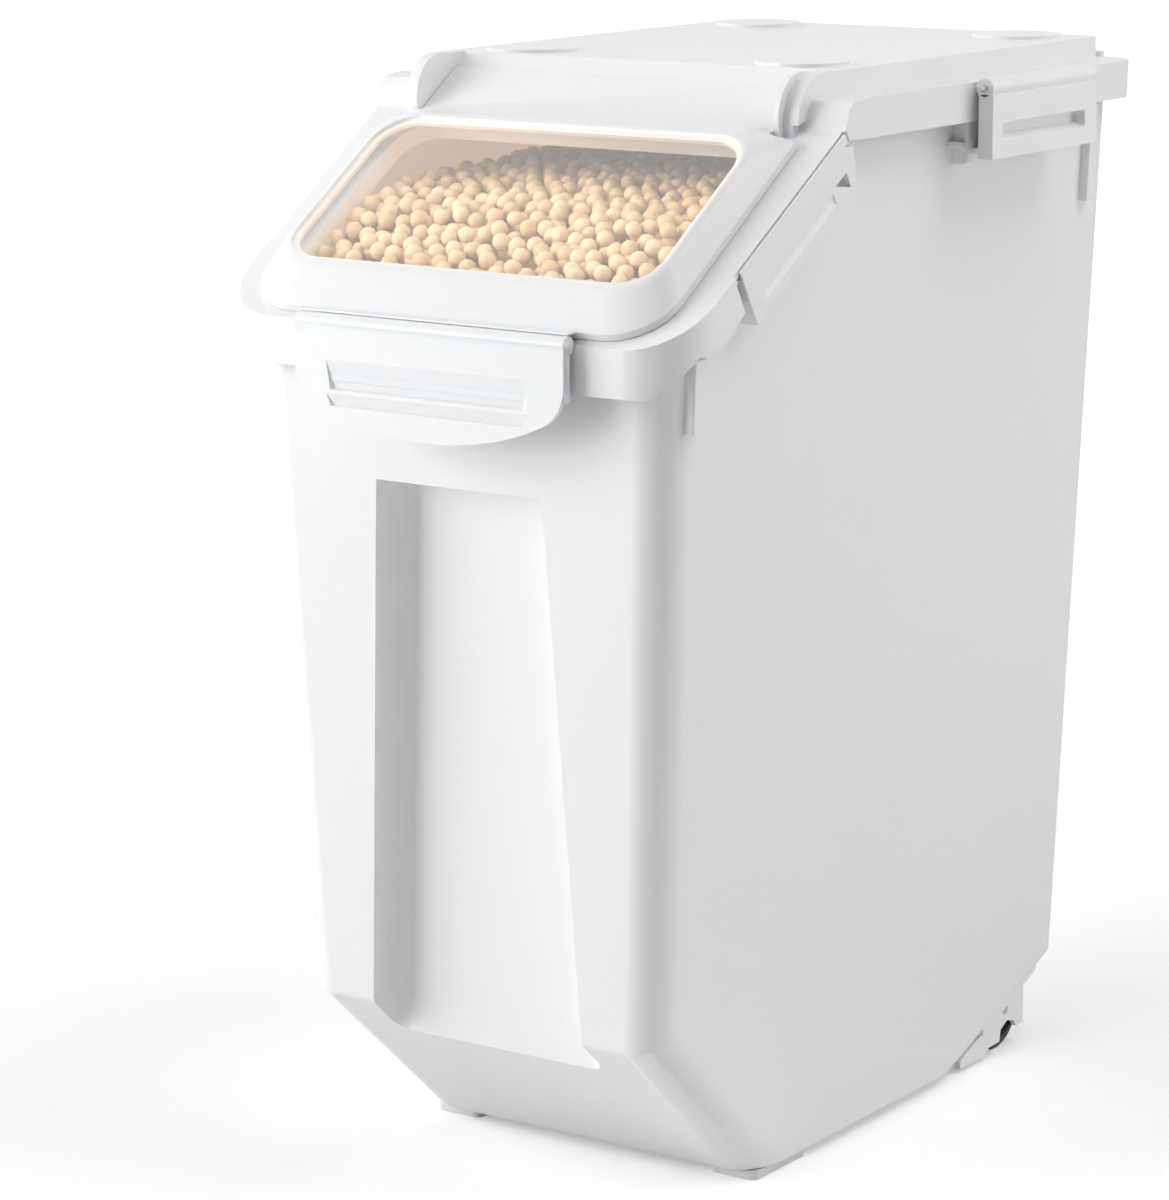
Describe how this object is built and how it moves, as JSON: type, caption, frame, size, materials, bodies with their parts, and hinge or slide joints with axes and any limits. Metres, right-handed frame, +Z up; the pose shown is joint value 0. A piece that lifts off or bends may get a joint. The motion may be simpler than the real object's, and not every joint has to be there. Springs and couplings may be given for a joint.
{
  "type": "rice bin with flip lid",
  "caption": "Tall tapered plastic rice bin with a slanted hinged lid, window pane, front and side latches, front feet and rear wheels.",
  "frame": {"origin": "middle of the ground rectangle that the whole part covers, on the surface that it stands on", "axes": "+Z up, -Y towards the front with the flip lid and its latch, +X to the right seen from the front"},
  "size_m": [0.2534, 0.3942, 0.4672],
  "materials": {
    "body_white": "satin white moulded plastic",
    "lid_frosted": "frosted translucent white plastic",
    "window_clear": "clear plastic pane",
    "seal_rubber": "pale soft seal",
    "pin_steel": "plain steel pin",
    "wheel_black": "black moulded plastic",
    "foot_white": "white soft foot"
  },
  "bodies": {
    "bin": {"bin_body": "body_white", "lid_frame": "body_white", "frame_seal": "seal_rubber", "hinge_pin_left": "pin_steel", "hinge_pin_right": "pin_steel", "side_latch_pin_left": "pin_steel", "side_latch_pin_right": "pin_steel", "wheel_bracket_left": "body_white", "wheel_bracket_right": "body_white", "wheel_axle_left": "pin_steel", "wheel_axle_right": "pin_steel", "foot_left": "foot_white", "foot_right": "foot_white"},
    "lid": {"flip_lid": "lid_frosted", "lid_window": "window_clear", "lid_seal": "seal_rubber", "front_latch_pin": "pin_steel"},
    "front_latch": {"front_latch": "lid_frosted"},
    "side_latch_left": {"side_latch_left": "body_white"},
    "side_latch_right": {"side_latch_right": "body_white"},
    "wheel_left": {"wheel_left": "wheel_black"},
    "wheel_right": {"wheel_right": "wheel_black"}
  },
  "joints": [
    {"name": "lid_hinge", "type": "hinge", "parent": "bin", "child": "lid", "pos_m": [0, -0.06519, 0.4484], "axis": [-1, 0, 0], "range_deg": [0, 138]},
    {"name": "front_latch_hinge", "type": "hinge", "parent": "lid", "child": "front_latch", "pos_m": [0, -0.19332, 0.3684], "axis": [-1, 0, 0], "range_deg": [0, 100]},
    {"name": "side_latch_left_hinge", "type": "hinge", "parent": "bin", "child": "side_latch_left", "pos_m": [-0.1224, 0.07212, 0.4541], "axis": [0, 1, 0], "range_deg": [0, 95]},
    {"name": "side_latch_right_hinge", "type": "hinge", "parent": "bin", "child": "side_latch_right", "pos_m": [0.1224, 0.07212, 0.4541], "axis": [0, -1, 0], "range_deg": [0, 95]},
    {"name": "wheel_left_spin", "type": "hinge", "parent": "bin", "child": "wheel_left", "pos_m": [-0.0727, 0.13312, 0.02], "axis": [1, 0, 0], "continuous": true},
    {"name": "wheel_right_spin", "type": "hinge", "parent": "bin", "child": "wheel_right", "pos_m": [0.0727, 0.13312, 0.02], "axis": [1, 0, 0], "continuous": true}
  ]
}
